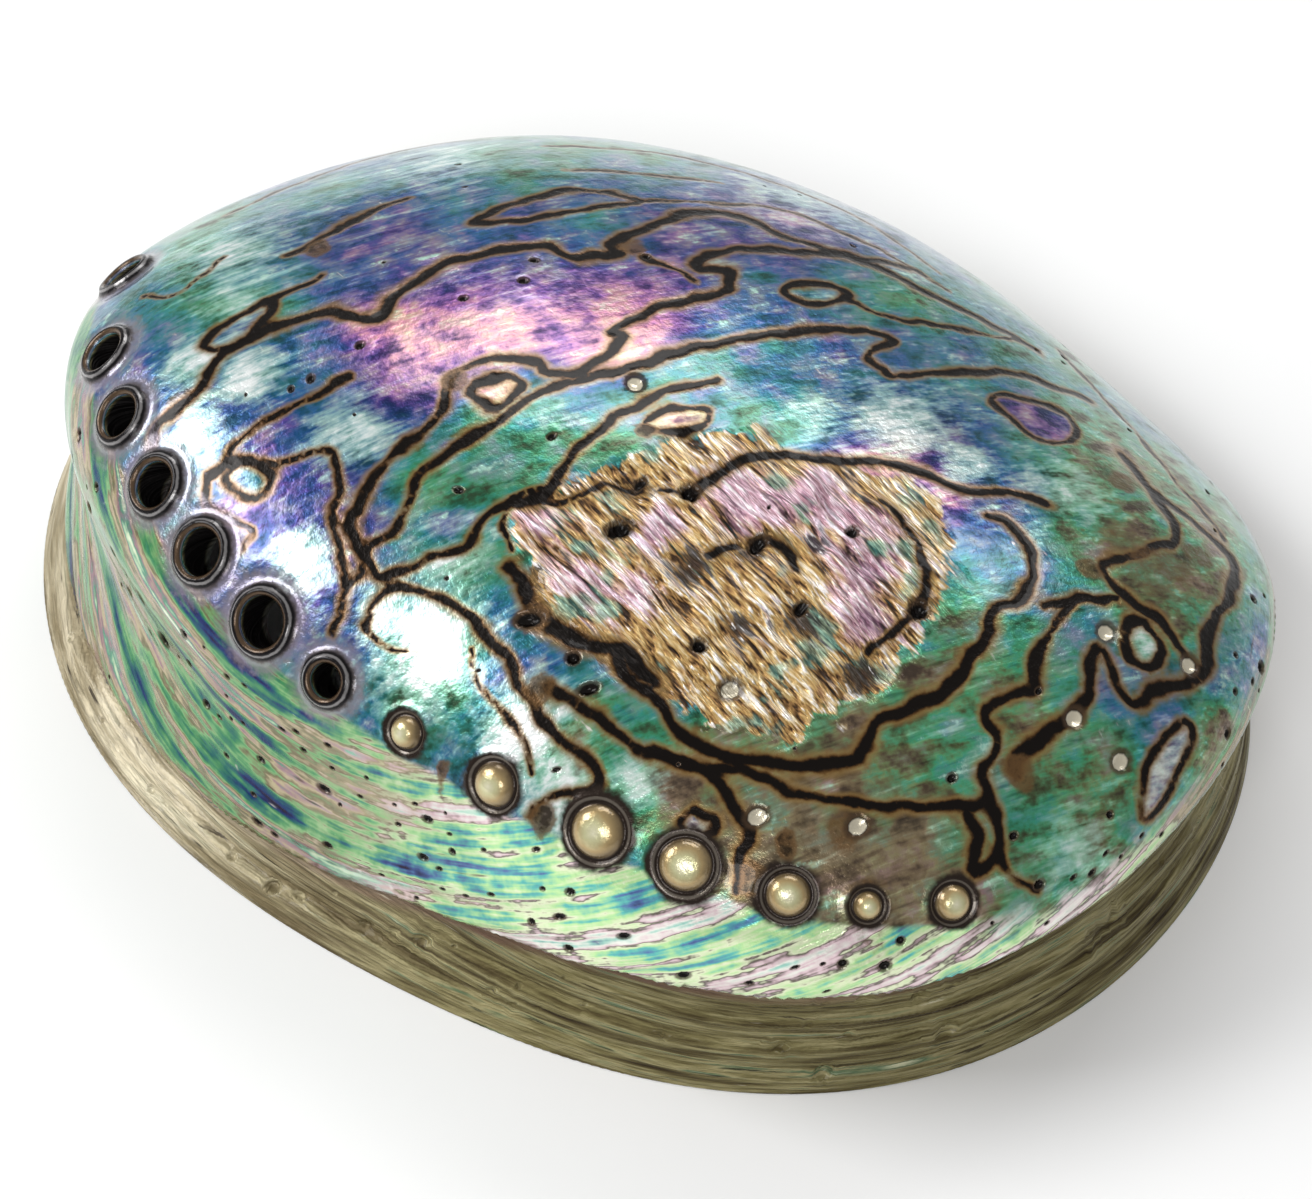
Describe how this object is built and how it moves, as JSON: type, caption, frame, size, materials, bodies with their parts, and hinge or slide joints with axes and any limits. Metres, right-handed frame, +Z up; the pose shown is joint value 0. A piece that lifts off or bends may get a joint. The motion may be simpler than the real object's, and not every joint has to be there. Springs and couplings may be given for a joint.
{
  "type": "abalone shell",
  "caption": "Polished abalone shell, resting dome up on its flat rim, with a thin wall, an open hollow under it and a curved row of breathing pores.",
  "frame": {"origin": "on the surface the rim rests on, below the middle of the footprint", "axes": "+X towards the spire end, -Y towards the row of pores, +Z up through the dome"},
  "size_m": [0.15, 0.1258, 0.0435],
  "materials": {
    "nacre": "polished iridescent mother of pearl, green, teal, blue, violet and pink with dark brown contour lines"
  },
  "bodies": {
    "root": {"shell": "nacre"}
  },
  "joints": []
}
